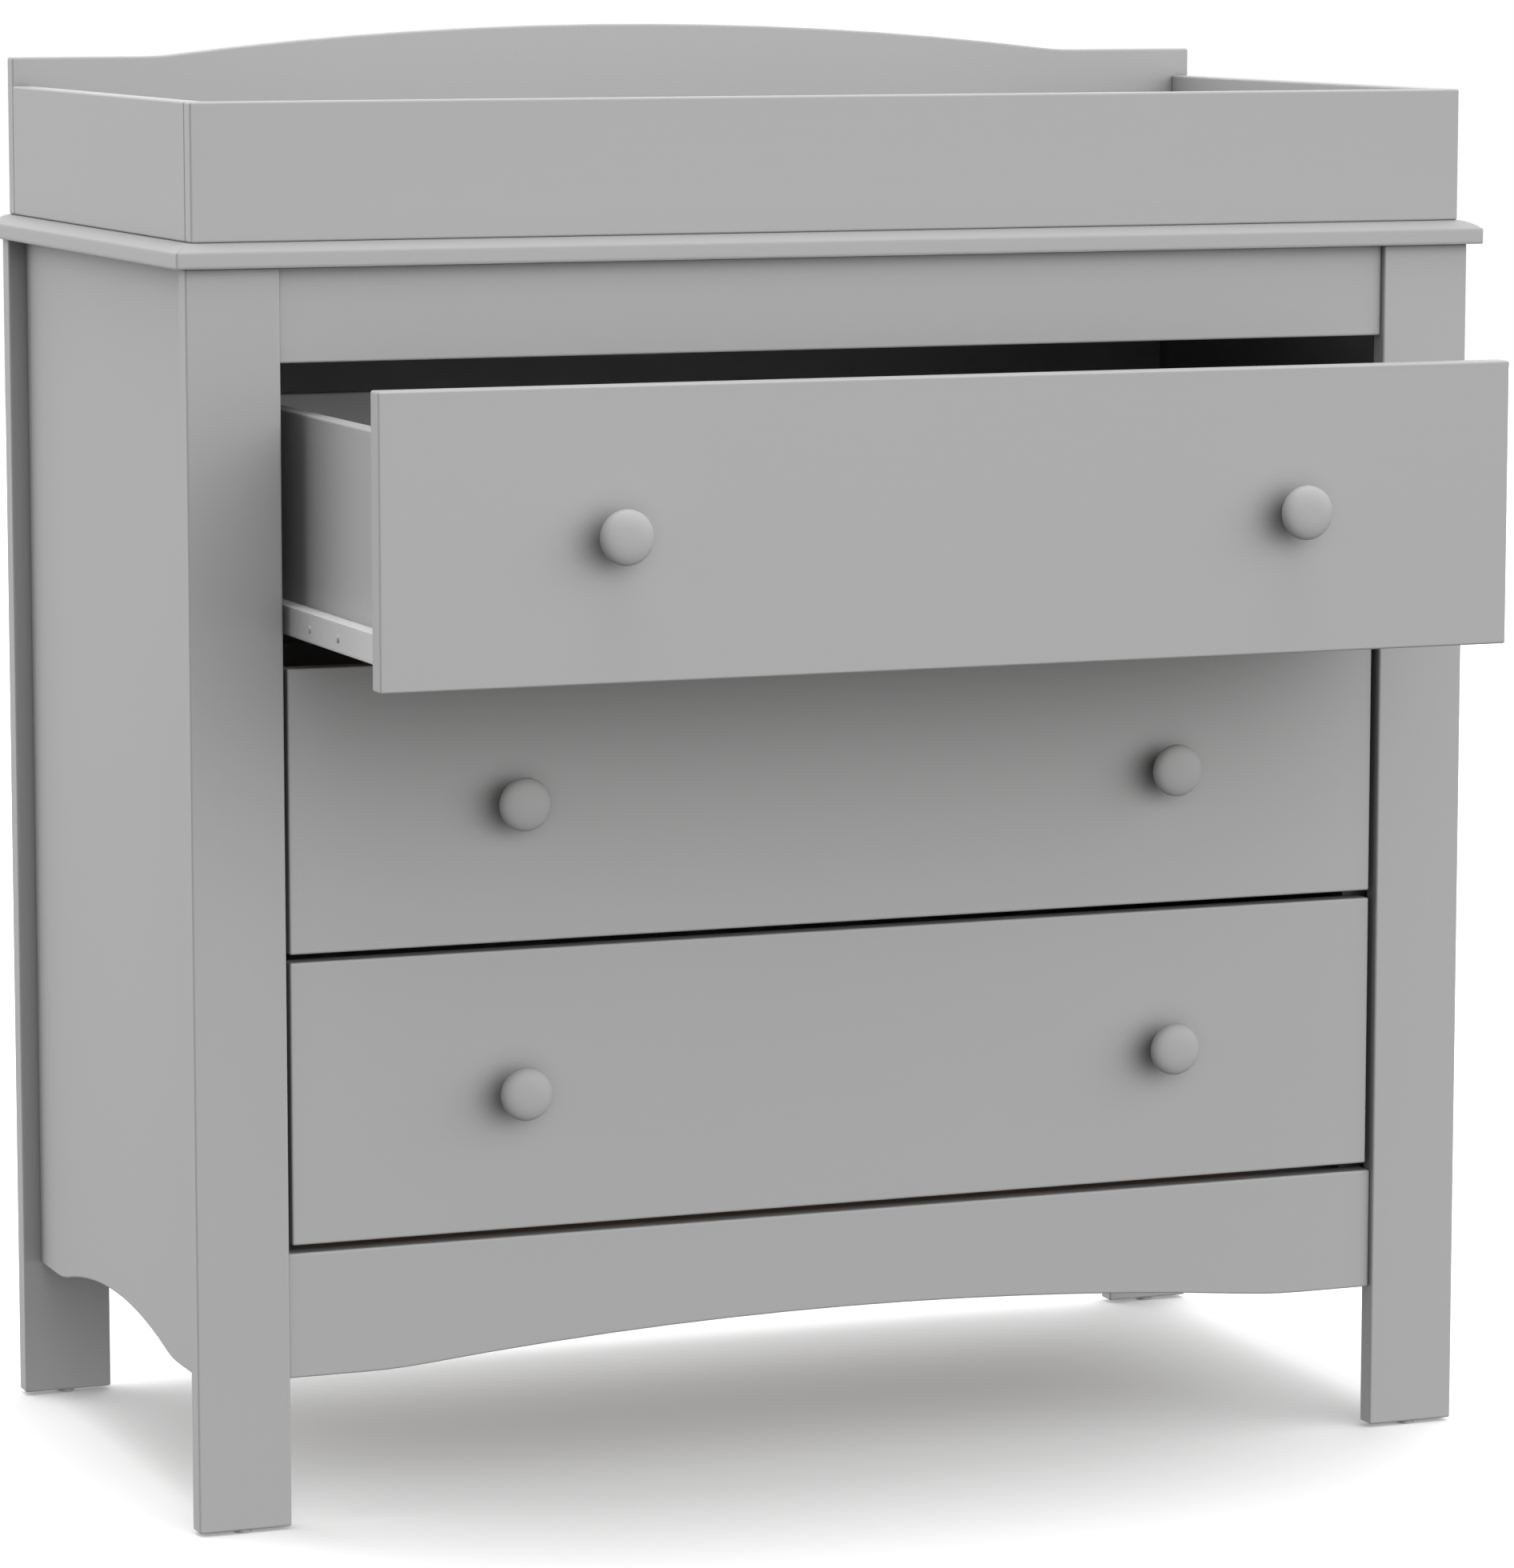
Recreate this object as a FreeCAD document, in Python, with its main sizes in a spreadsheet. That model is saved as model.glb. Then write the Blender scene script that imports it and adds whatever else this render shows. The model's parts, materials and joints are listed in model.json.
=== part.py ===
import FreeCAD, Part
import os
import types

import Sketcher
from FreeCAD import Placement, Rotation, Vector

# Changing table: a three-drawer chest with a tray on its top.
#
# Row frame: X to the right, Y from the front to the rear, Z up. The origin is on the floor, at
# the centre of the footprint of the whole piece with the upper drawer pulled out by DrawerPull.

SIZES = [
    # Case
    ("CaseWidth", 865, "over the outer edges of the posts"),
    ("CaseDepth", 430, "from the front face of the front posts to the rear face of the rear posts"),
    ("CaseHeight", 782, "from the floor to the underside of the top board"),
    ("FootprintCentre", 115, "from the front face of the front posts back to the origin"),
    ("PostWidth", 59.5, "of each post, along X"),
    ("BoardThickness", 15, "of posts, rails, side panels, top board and drawer fronts"),
    ("EdgeEase", 1.4, "radius on the edges of every painted board"),
    ("SidePanelSetback", 11.7, "of the side panels behind the outer edges of the posts"),
    ("SidePanelBottom", 91, "height of the flat ends of the side panels' bottom edge"),
    ("SideArchCentre", 229, "from the front face of the posts"),
    ("SideArchHalf", 142, "half of the arch's length"),
    ("SideArchRise", 16.5, "of the arch"),
    ("SideArchSweep", 110, "radius of the reverse curves at the arch's ends"),
    ("FrontSetback", 4.3, "of rails and closed drawer fronts behind the posts' front face"),
    ("RailHeight", 58.5, "of the top rails"),
    ("ApronTop", 173, "height of the apron's top edge above the floor"),
    ("ApronBottom", 94.5, "height of the flat ends of the apron's bottom edge"),
    ("ApronArchHalf", 322, "half of the arch's length"),
    ("ApronArchRise", 16, "of the arch"),
    ("ApronArchSweep", 400, "radius of the reverse curves at the arch's ends"),
    ("StretcherDrop", 8, "of the stretcher's top below the apron's top edge"),
    ("StretcherDepth", 70, "of the stretcher, from the back of the apron"),
    ("TopOverhang", 7.5, "of the top board beyond the posts, at the front and the sides"),
    ("BevelWidth", 11.5, "of the bevel round the top board"),
    ("BevelDrop", 5.5, "of the bevel round the top board"),
    ("BevelCrown", 22, "radius of the bevel's crowned face"),
    ("HardboardThickness", 3, "of the back panel and the drawer bottoms"),
    ("BackPanelGap", 0.5, "round the back panel"),
    ("GlideDiameter", 12, "of the foot glides"),
    ("GlideThickness", 2, "of the foot glides"),
    ("GlideNailDiameter", 2, "of the foot glides' nails"),
    ("GlideNailLength", 14, "of the foot glides' nails"),
    # Changing tray
    ("TrayThickness", 12.7, "of the tray's panels"),
    ("TrayHeight", 84.7, "of the front and side panels"),
    ("TraySideSetback", 5.1, "of the tray inside the outer edges of the posts"),
    ("TrayFrontSetback", 4, "of the tray behind the front face of the posts"),
    ("TrayShoulder", 103.5, "height of the back panel's flat ends"),
    ("TrayArchHalf", 338, "half of the back panel's arch"),
    ("TrayArchRise", 19.6, "of the back panel's arch"),
    ("TrayArchSweep", 200, "radius of the reverse curves at the arch's ends"),
    # Drawers
    ("DrawerGap", 5, "above and below each drawer front"),
    ("DrawerSideGap", 3.5, "between a drawer front and the posts"),
    ("DrawerPull", 183.7, "of the upper drawer, out of its closed place"),
    ("DrawerLength", 350, "of the drawer sides"),
    ("DrawerPanelThickness", 12, "of the drawer sides and backs"),
    ("DrawerPanelHeight", 133.3, "of the drawer sides and backs"),
    ("DrawerPanelLift", 17, "of the drawer sides above the front's bottom edge"),
    ("DrawerHalf", 357.5, "from the middle to the outer face of a drawer side"),
    ("GrooveLift", 10, "of the bottom panel's groove above the sides' bottom edge"),
    ("GrooveWidth", 3.2, "of the bottom panel's groove"),
    ("GrooveDepth", 6, "of the bottom panel's groove"),
    ("PanelPlay", 0.3, "between the bottom panel's edges and the ends of its grooves"),
    ("KnobOffset", 222, "of each knob from the middle"),
    ("KnobRadius", 16.8, "of the knob's head"),
    ("KnobLength", 24, "from the drawer front to the top of the knob"),
    ("KnobBase", 9, "radius of the knob's foot"),
    ("KnobNeck", 7.2, "radius of the knob's neck"),
    ("KnobNeckHeight", 7.5, "height of the neck above the drawer front"),
    ("KnobRimLow", 14.5, "height of the underside of the head at its rim"),
    ("KnobRimHigh", 19.5, "height of the upper side of the head at its rim"),
    ("KnobFlare", 9, "radius of the curve between neck and head"),
    ("KnobDome", 46, "radius of the knob's domed face"),
    ("KnobRimEase", 2.2, "radius on the knob's rim"),
    ("KnobBoreDepth", 15, "of the screw's hole in the knob"),
    # Slides
    ("SideClearance", 13, "between a drawer side and the runner cleat"),
    ("Gauge", 1.2, "sheet thickness of the runners"),
    ("RunnerHeight", 17.7, "of the drawer runner's folded rail"),
    ("RunnerReach", 11.2, "of the drawer runner's rail, from the drawer side"),
    ("RunnerDrop", 1.2, "of the rail's underside below the drawer side's bottom edge"),
    ("RunnerSeam", 2.5, "between the rail's bottom flange and the drawer side"),
    ("RunnerTab", 24, "length of the tab that carries the drawer roller"),
    ("RunnerTabEdge", 4, "of the tab below the drawer roller's axis"),
    ("ChannelFlange", 10.3, "width of the case runner's flanges"),
    ("ChannelGap", 1, "between the drawer runner's rail and the case runner under it"),
    ("ChannelNotch", 26, "length at the front where the case runner has no top flange"),
    ("ChannelStart", 45, "from the posts' front face to the case runner's front end"),
    ("RollerRadius", 7.3, "of the rollers"),
    ("RollerWidth", 7.4, "of the rollers"),
    ("RollerEase", 0.8, "chamfer on the rollers' rims"),
    ("RollerSetback", 12, "of a roller's axis from its runner's end"),
    ("RunningGap", 0.3, "between a roller and the flanges that it runs on"),
    ("PinRadius", 2, "of the rollers' pins"),
    ("PinPlay", 0.05, "between a pin and its roller"),
    ("RollerStandoff", 0.6, "between the drawer runner's tab and the rollers"),
    ("CleatHeight", 46, "of the runner cleats"),
    ("CleatLift", 8, "of the case runner above the cleat's bottom edge"),
    ("CleatEndGap", 3, "between a cleat and the back panel"),
    # Fittings
    ("HoleClearance", 0.1, "between a fastener and its hole, on the diameter"),
    ("CamDiameter", 15, "of the case's cam locks"),
    ("CamDepth", 12.5, "of the case's cam locks"),
    ("CamAxis", 9.5, "depth of the case's cam bolts below the cam's face"),
    ("SmallCamDiameter", 12, "of the cam locks in thin panels"),
    ("SmallCamDepth", 9.5, "of the cam locks in thin panels"),
    ("SmallCamAxis", 6, "depth of the bolts in thin panels below the cam's face"),
    ("CamSetback", 24, "of a cam lock's centre from the joint"),
    ("BoltRadius", 2.5, "of a cam bolt's shank and thread"),
    ("BoltHeadRadius", 3.2, "of a cam bolt's head"),
    ("BoltThread", 10, "length of a cam bolt's thread"),
    ("SlotPlay", 0.2, "between a cam lock and the bolt's head"),
    ("DriverSlotWidth", 1.6, "of the screwdriver slots"),
    ("DriverSlotDepth", 1.5, "of the screwdriver slots"),
    ("ScrewRadius", 2, "of the screws' shanks"),
    ("ScrewHeadRadius", 4, "of the screws' heads"),
    ("ScrewHeadHeight", 2, "of the screws' heads"),
    ("ScrewHeadTaper", 1.3, "of the screws' heads, from the rim to the flat top"),
    ("KnobScrewLength", 27, "below the head"),
    ("CornerScrewLength", 40, "below the head"),
    ("ShortScrewLength", 12, "below the head"),
    ("PanelScrewLength", 12, "below the head"),
    ("PlateWidth", 20, "of the tray's fixing plates"),
    ("PlateHeight", 118, "of the tray's fixing plates"),
    ("PlateThickness", 1.5, "of the tray's fixing plates"),
    ("PlateOffset", 260, "of the fixing plates from the middle"),
    ("PlateDrop", 46, "of the fixing plates below the underside of the top board"),
    ("PlateHoleInset", 9, "of the outer holes from the plate's ends"),
    ("PlateHolePitch", 20, "between two holes at one end of the plate"),
    ("BracketWidth", 62, "of the wall bracket"),
    ("BracketHeight", 24, "of the wall bracket"),
    ("BracketThickness", 2, "of the wall bracket"),
    ("BracketHolePitch", 44, "between the wall bracket's screws"),
    ("AnchorHoleRadius", 3, "of the wall bracket's hole for the anchor"),
    ("AnchorRecessRadius", 5, "of the clearance hole behind the anchor's hole"),
    ("AnchorRecessDepth", 10, "of the clearance hole behind the anchor's hole"),
]


class Size:
    """A length that keeps its number and the spreadsheet expression that gives it."""

    def __init__(self, number, text):
        self.number = number
        self.text = text

    def combine(self, other, sign, swap=False):
        other = as_size(other)
        left, right = (other, self) if swap else (self, other)
        results = {"+": left.number + right.number, "-": left.number - right.number,
                   "*": left.number * right.number}
        number = left.number / right.number if sign == "/" else results[sign]
        return Size(number, "(%s %s %s)" % (left.text, sign, right.text))

    def __add__(self, other):
        return self.combine(other, "+")

    def __radd__(self, other):
        return self.combine(other, "+", swap=True)

    def __sub__(self, other):
        return self.combine(other, "-")

    def __rsub__(self, other):
        return self.combine(other, "-", swap=True)

    def __mul__(self, other):
        return self.combine(other, "*")

    def __rmul__(self, other):
        return self.combine(other, "*", swap=True)

    def __truediv__(self, other):
        return self.combine(other, "/")

    def __neg__(self):
        return as_size(0) - self


def as_size(value):
    return value if isinstance(value, Size) else Size(float(value), repr(float(value)))


# ---------------------------------------------------------------------------------------------
# Document, spreadsheet and helpers
# ---------------------------------------------------------------------------------------------

doc = FreeCAD.newDocument("ChangingTable")
sheet = doc.addObject("Spreadsheet::Sheet", "Sizes")
for row, (alias, number, meaning) in enumerate(SIZES, start=1):
    sheet.set("A%d" % row, alias)
    sheet.set("B%d" % row, str(number))
    sheet.setAlias("B%d" % row, alias)
    sheet.set("C%d" % row, meaning)
doc.recompute()
s = types.SimpleNamespace(
    **{alias: Size(float(number), "Sizes." + alias) for alias, number, _ in SIZES})

nodes = []
boards = {}

X, Y, Z = Vector(1, 0, 0), Vector(0, 1, 0), Vector(0, 0, 1)
LEFT, RIGHT, FRONT, BACK, BOTTOM, TOP = "left", "right", "front", "back", "bottom", "top"

# Face of a board: its sketch plane, the axis it is normal to, whether it is the board's far
# face on that axis, and the sign that turns a distance along the axis into the plane's offset.
FACES = {
    LEFT: ("YZ", 0, False, 1), RIGHT: ("YZ", 0, True, 1),
    FRONT: ("XZ", 1, False, -1), BACK: ("XZ", 1, True, -1),
    BOTTOM: ("XY", 2, False, 1), TOP: ("XY", 2, True, 1),
}
SKETCH_AXES = {"YZ": (1, 2), "XZ": (0, 2), "XY": (0, 1)}


def bind(thing, prop, size):
    thing.setExpression(prop, as_size(size).text)


def bind_place(thing, place):
    for axis, size in zip("xyz", place):
        bind(thing, "Placement.Base." + axis, size)


def new_body(label, place=(0, 0, 0)):
    body = doc.addObject("PartDesign::Body", label)
    body.Label = label
    bind_place(body, place)
    return body


def new_sketch(body, plane, offset=0):
    sketch = body.newObject("Sketcher::SketchObject", body.Name + "_sketch")
    datum = [item for item in body.Origin.OriginFeatures if item.Role == plane + "_Plane"][0]
    sketch.AttachmentSupport = [(datum, "")]
    sketch.MapMode = "FlatFace"
    bind(sketch, "AttachmentOffset.Base.z", offset)
    return sketch


def fix_point(sketch, edge, point, u, v):
    """Tie a point of the sketch to the distances u and v from the sketch's origin."""
    for kind, size in (("DistanceX", as_size(u)), ("DistanceY", as_size(v))):
        index = sketch.addConstraint(Sketcher.Constraint(kind, -1, 1, edge, point, size.number))
        bind(sketch, "Constraints[%d]" % index, size)


def draw_outline(sketch, points, arcs=None):
    """A closed outline through points. arcs gives, for the edge that starts at a point's number,
    a radius and the side its arc bulges to, seen along the edge: 1 left, -1 right."""
    arcs = arcs or {}
    count = len(points)
    corners = [Vector(as_size(u).number, as_size(v).number, 0) for u, v in points]
    edges = []
    for index, start in enumerate(corners):
        end = corners[(index + 1) % count]
        if index not in arcs:
            edges.append(sketch.addGeometry(Part.LineSegment(start, end)))
            continue
        radius, side = arcs[index]
        chord = end - start
        radius = as_size(radius)
        sagitta = radius.number - (radius.number ** 2 - chord.Length ** 2 / 4) ** 0.5
        outward = Vector(-chord.y, chord.x, 0).normalize() * (sagitta * side)
        arc = Part.Arc(start, (start + end) / 2 + outward, end)
        edges.append(sketch.addGeometry(arc))
        constraint = sketch.addConstraint(Sketcher.Constraint("Radius", edges[-1], radius.number))
        bind(sketch, "Constraints[%d]" % constraint, radius)
    for index, edge in enumerate(edges):
        following = edges[(index + 1) % count]
        ends = [end_at(sketch, edge, corners[(index + 1) % count]),
                end_at(sketch, following, corners[(index + 1) % count])]
        sketch.addConstraint(
            Sketcher.Constraint("Coincident", edge, ends[0], following, ends[1]))
    for index, edge in enumerate(edges):
        fix_point(sketch, edge, end_at(sketch, edge, corners[index]), *points[index])


def end_at(sketch, edge, corner):
    """Number of the edge's end that lies at the corner: 1 for its start, 2 for its end."""
    return 1 if sketch.getPoint(edge, 1).distanceToPoint(corner) < 1e-6 else 2


def draw_rectangle(sketch, low, high):
    draw_outline(sketch, [low, (high[0], low[1]), high, (low[0], high[1])])


def draw_circles(sketch, spots, diameter):
    diameter = as_size(diameter)
    for u, v in spots:
        centre = Vector(as_size(u).number, as_size(v).number, 0)
        edge = sketch.addGeometry(Part.Circle(centre, Z, diameter.number / 2))
        index = sketch.addConstraint(Sketcher.Constraint("Diameter", edge, diameter.number))
        bind(sketch, "Constraints[%d]" % index, diameter)
        fix_point(sketch, edge, 3, u, v)


def pad(body, sketch, length, flip=False):
    feature = body.newObject("PartDesign::Pad", body.Name + "_pad")
    feature.Profile = sketch
    feature.Reversed = flip
    bind(feature, "Length", length)
    doc.recompute()
    return feature


def pocket(body, sketch, depth, flip=False):
    feature = body.newObject("PartDesign::Pocket", body.Name + "_pocket")
    feature.Profile = sketch
    feature.Reversed = flip
    bind(feature, "Length", depth)
    return feature


def revolve(body, sketch):
    """Turn a sketch that lies beside the sketch's vertical axis round that axis."""
    feature = body.newObject("PartDesign::Revolution", body.Name + "_turned")
    feature.Profile = sketch
    feature.ReferenceAxis = (sketch, ["V_Axis"])
    feature.Angle = 360
    doc.recompute()
    return feature


def ease(body, feature, radius, wanted=lambda edge: True):
    names = ["Edge%d" % (index + 1) for index, edge in enumerate(feature.Shape.Edges)
             if wanted(edge)]
    fillet = body.newObject("PartDesign::Fillet", body.Name + "_eased")
    fillet.Base = (feature, names)
    bind(fillet, "Radius", radius)
    doc.recompute()
    return fillet


def board(label, corner, size, outline=None, arcs=None, flat=FRONT, radius=None, keep=True):
    """A flat board whose lowest corner is at corner. outline, in the plane of its flat face, is
    measured from that corner; without one the board is rectangular. All its edges are eased."""
    body = new_body(label, corner)
    plane, normal, _, _ = FACES[flat]
    across, up = SKETCH_AXES[plane]
    sketch = new_sketch(body, plane)
    draw_outline(sketch, outline or [(0, 0), (size[across], 0), (size[across], size[up]),
                                     (0, size[up])], arcs)
    feature = pad(body, sketch, size[normal], flip=flat == FRONT)
    if radius is not None:
        ease(body, feature, radius)
    boards[label] = (body, corner, size)
    if keep:
        nodes.append(body)
    return body


def cut(label, face, depth, draw):
    """Cut into a board from one of its faces. draw(sketch, local) draws the cut's outline, where
    local turns a place in the row frame into the sketch's own distances."""
    body, corner, size = boards[label]
    plane, normal, far, sign = FACES[face]
    across, up = SKETCH_AXES[plane]
    offset = as_size(size[normal]) * sign if far else 0
    sketch = new_sketch(body, plane, offset)
    draw(sketch, lambda spot: (spot[0] - corner[across], spot[1] - corner[up]))
    pocket(body, sketch, depth, flip=(far and sign < 0) or (not far and sign > 0))


def drill(label, face, spots, diameter, depth):
    cut(label, face, depth, lambda sketch, local: draw_circles(
        sketch, [local(spot) for spot in spots], diameter + s.HoleClearance))


def groove(label, face, low, high, depth):
    cut(label, face, depth, lambda sketch, local: draw_rectangle(sketch, local(low), local(high)))


def mirror(label, source, keep=True):
    """The right-hand piece of a left-hand one."""
    copy = doc.addObject("Part::Mirroring", label)
    copy.Label = label
    copy.Source = source
    copy.Base = Vector(0, 0, 0)
    copy.Normal = X
    if keep:
        nodes.append(copy)
    return copy


def link(template, place, axis=Z, side=None):
    """A copy of a template, with its Z along axis and its X along side."""
    copy = doc.addObject("App::Link", template.Name + "_copy")
    copy.LinkedObject = template
    copy.LinkTransform = True
    side = side or (X if abs(axis.dot(X)) < 0.5 else Y)
    copy.Placement = Placement(Vector(0, 0, 0), Rotation(side, axis.cross(side), axis, "ZXY"))
    bind_place(copy, place)
    return copy


def group(label, members, keep=True):
    compound = doc.addObject("Part::Compound", label)
    compound.Label = label
    compound.Links = members
    if keep:
        nodes.append(compound)
    return compound


def arched_edge(half, rise, sweep, centre, level, upward=True):
    """Points and arcs, from left to right, of an arch between two flats at the given level. Each
    flat runs into a reverse curve of radius sweep, and that runs into the arch's crown."""
    slope = rise / half
    spread = 1 + slope * slope
    sine = 2 * slope / spread
    crown = (half * half + rise * rise) / (2 * rise) - sweep
    inset = sweep * sine
    lift = sweep * (2 * slope * slope / spread)
    points = [(centre - half, level), (centre - half + inset, level + lift),
              (centre + half - inset, level + lift), (centre + half, level)]
    turns = [(sweep, -1), (crown, 1), (sweep, -1)]
    return points, turns if upward else turns[::-1]


# ---------------------------------------------------------------------------------------------
# Fittings, each modelled once at the origin and copied to its places
# ---------------------------------------------------------------------------------------------

def make_cam(label, diameter, depth, axis):
    """A cam lock: its face is at Z = 0 and it reaches down. A slot for the bolt's head opens
    towards +X at the bolt's depth, and a screwdriver slot crosses its face."""
    body = new_body(label)
    sketch = new_sketch(body, "XY")
    draw_circles(sketch, [(0, 0)], diameter)
    pad(body, sketch, depth, flip=True)
    head = s.BoltHeadRadius + s.SlotPlay
    sketch = new_sketch(body, "YZ", -head)
    draw_rectangle(sketch, (-head, -axis - head), (head, -axis + head))
    pocket(body, sketch, diameter, flip=True)
    sketch = new_sketch(body, "XY")
    draw_rectangle(sketch, (-s.DriverSlotWidth / 2, -diameter / 3),
                   (s.DriverSlotWidth / 2, diameter / 3))
    pocket(body, sketch, s.DriverSlotDepth)
    return body


def make_turned(label, points, arcs=None):
    """A turned piece about Z, from its outline as distances from the axis and heights."""
    body = new_body(label)
    sketch = new_sketch(body, "XZ")
    draw_outline(sketch, points, arcs)
    revolve(body, sketch)
    return body


def make_bolt(label):
    """A cam bolt: Z = 0 is the joint, its thread is below and its head is at the cam above."""
    head_start = s.CamSetback - s.BoltHeadRadius
    return make_turned(label, [
        (0, -s.BoltThread), (s.BoltRadius, -s.BoltThread), (s.BoltRadius, head_start),
        (s.BoltHeadRadius, head_start), (s.BoltHeadRadius, s.CamSetback), (0, s.CamSetback)])


def make_screw(label, length):
    """A pan-head screw: Z = 0 is the surface that its head bears on."""
    return make_turned(label, [
        (0, -length), (s.ScrewRadius, -length), (s.ScrewRadius, 0), (s.ScrewHeadRadius, 0),
        (s.ScrewHeadRadius, s.ScrewHeadHeight / 3),
        (s.ScrewHeadRadius - s.ScrewHeadTaper, s.ScrewHeadHeight), (0, s.ScrewHeadHeight)])


cam = make_cam("cam_lock", s.CamDiameter, s.CamDepth, s.CamAxis)
small_cam = make_cam("small_cam_lock", s.SmallCamDiameter, s.SmallCamDepth, s.SmallCamAxis)
bolt = make_bolt("cam_bolt")
knob_screw = make_screw("knob_screw", s.KnobScrewLength)
corner_screw = make_screw("corner_screw", s.CornerScrewLength)
short_screw = make_screw("short_screw", s.ShortScrewLength)
panel_screw = make_screw("panel_screw", s.PanelScrewLength)

roller_bore = s.PinRadius + s.PinPlay
roller = make_turned("roller", [
    (roller_bore, 0), (s.RollerRadius - s.RollerEase, 0), (s.RollerRadius, s.RollerEase),
    (s.RollerRadius, s.RollerWidth - s.RollerEase),
    (s.RollerRadius - s.RollerEase, s.RollerWidth), (roller_bore, s.RollerWidth)])

glide = make_turned("foot_glide", [
    (0, 0), (s.GlideDiameter / 2, 0), (s.GlideDiameter / 2, s.GlideThickness),
    (s.GlideNailDiameter / 2, s.GlideThickness),
    (s.GlideNailDiameter / 2, s.GlideThickness + s.GlideNailLength),
    (0, s.GlideThickness + s.GlideNailLength)])


def make_knob():
    """A turned knob about Z, standing on Z = 0: a foot that narrows to a neck, a flared head
    with a rounded rim and a low domed face, and a blind hole for its screw."""
    hole = s.ScrewRadius + s.HoleClearance
    body = new_body("knob")
    sketch = new_sketch(body, "XZ")
    draw_outline(sketch, [
        (hole, 0), (s.KnobBase, 0), (s.KnobNeck, s.KnobNeckHeight),
        (s.KnobRadius, s.KnobRimLow), (s.KnobRadius, s.KnobRimHigh), (0, s.KnobLength),
        (0, s.KnobBoreDepth), (hole, s.KnobBoreDepth)], {4: (s.KnobDome, -1)})
    feature = revolve(body, sketch)

    def rim(edge):
        return abs(edge.BoundBox.XLength / 2 - s.KnobRadius.number) < 0.01

    def neck(edge):
        level = abs(edge.BoundBox.ZMin - s.KnobNeckHeight.number) < 0.01
        return level and edge.BoundBox.ZLength < 0.01

    rim_eased = ease(body, feature, s.KnobRimEase, rim)
    ease(body, rim_eased, s.KnobFlare, neck)
    return body


knob = make_knob()


def cam_joint(seat, face, mate, mate_face, cam_at, toward, small=False):
    """Join two boards with a cam lock and its bolt. cam_at is the cam's centre on the seat's
    face and toward the direction from the cam to the joint; all holes are cut here."""
    normals = {LEFT: -X, RIGHT: X, FRONT: -Y, BACK: Y, BOTTOM: -Z, TOP: Z}
    normal = normals[face]
    diameter, depth, axis_depth = (
        (s.SmallCamDiameter, s.SmallCamDepth, s.SmallCamAxis) if small
        else (s.CamDiameter, s.CamDepth, s.CamAxis))
    across, up = SKETCH_AXES[FACES[face][0]]
    drill(seat, face, [(cam_at[across], cam_at[up])], diameter, depth)
    axis_point = [cam_at[i] - axis_depth * normal[i] for i in range(3)]
    joint = [axis_point[i] + s.CamSetback * toward[i] for i in range(3)]
    seat_end = next(name for name, way in normals.items() if way.isEqual(toward, 1e-9))
    across, up = SKETCH_AXES[FACES[seat_end][0]]
    drill(seat, seat_end, [(joint[across], joint[up])], s.BoltHeadRadius * 2, s.CamSetback)
    across, up = SKETCH_AXES[FACES[mate_face][0]]
    drill(mate, mate_face, [(joint[across], joint[up])], s.BoltRadius * 2, s.BoltThread)
    return (link(small_cam if small else cam, cam_at, normal, toward),
            link(bolt, joint, -toward))


# ---------------------------------------------------------------------------------------------
# Case
# ---------------------------------------------------------------------------------------------

half = s.CaseWidth / 2
post_inner = half - s.PostWidth
panel_outer = half - s.SidePanelSetback
panel_inner = panel_outer - s.BoardThickness
front = -s.FootprintCentre
rear = front + s.CaseDepth
post_back = front + s.BoardThickness
rear_post_front = rear - s.BoardThickness
rail_front = front + s.FrontSetback
rail_bottom = s.CaseHeight - s.RailHeight
rail_size = (post_inner * 2, s.BoardThickness, s.RailHeight)

for label, y in (("front_left_post", front), ("rear_left_post", rear_post_front)):
    board(label, (-half, y, s.GlideThickness),
          (s.PostWidth, s.BoardThickness, s.CaseHeight - s.GlideThickness), radius=s.EdgeEase)
    drill(label, BOTTOM, [(-half + s.PostWidth / 2, y + s.BoardThickness / 2)],
          s.GlideNailDiameter, s.GlideNailLength)

points, arcs = arched_edge(s.SideArchHalf, s.SideArchRise, s.SideArchSweep,
                           s.SideArchCentre - s.BoardThickness, 0)
panel_size = (s.BoardThickness, rear_post_front - post_back, s.CaseHeight - s.SidePanelBottom)
board("left_side_panel", (-panel_outer, post_back, s.SidePanelBottom), panel_size,
      [(0, 0)] + points + [(panel_size[1], 0), panel_size[1:], (0, panel_size[2])],
      {index + 1: arc for index, arc in enumerate(arcs)}, LEFT, s.EdgeEase)

board("front_top_rail", (-post_inner, rail_front, rail_bottom), rail_size, radius=s.EdgeEase)
board("rear_top_rail", (-post_inner, rear_post_front, rail_bottom), rail_size,
      radius=s.EdgeEase)

apron_size = (post_inner * 2, s.BoardThickness, s.ApronTop - s.ApronBottom)
points, arcs = arched_edge(s.ApronArchHalf, s.ApronArchRise, s.ApronArchSweep, post_inner, 0)
board("front_apron", (-post_inner, rail_front, s.ApronBottom), apron_size,
      [(0, 0)] + points + [(apron_size[0], 0), (apron_size[0], apron_size[2]),
                           (0, apron_size[2])],
      {index + 1: arc for index, arc in enumerate(arcs)}, radius=s.EdgeEase)
board("rear_bottom_rail", (-post_inner, rear_post_front, s.ApronBottom), apron_size,
      radius=s.EdgeEase)

stretcher_top = s.ApronTop - s.StretcherDrop
stretcher_front = rail_front + s.BoardThickness
board("front_stretcher", (-panel_inner, stretcher_front, stretcher_top - s.BoardThickness),
      (panel_inner * 2, s.StretcherDepth, s.BoardThickness), flat=BOTTOM, radius=s.EdgeEase)


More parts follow.
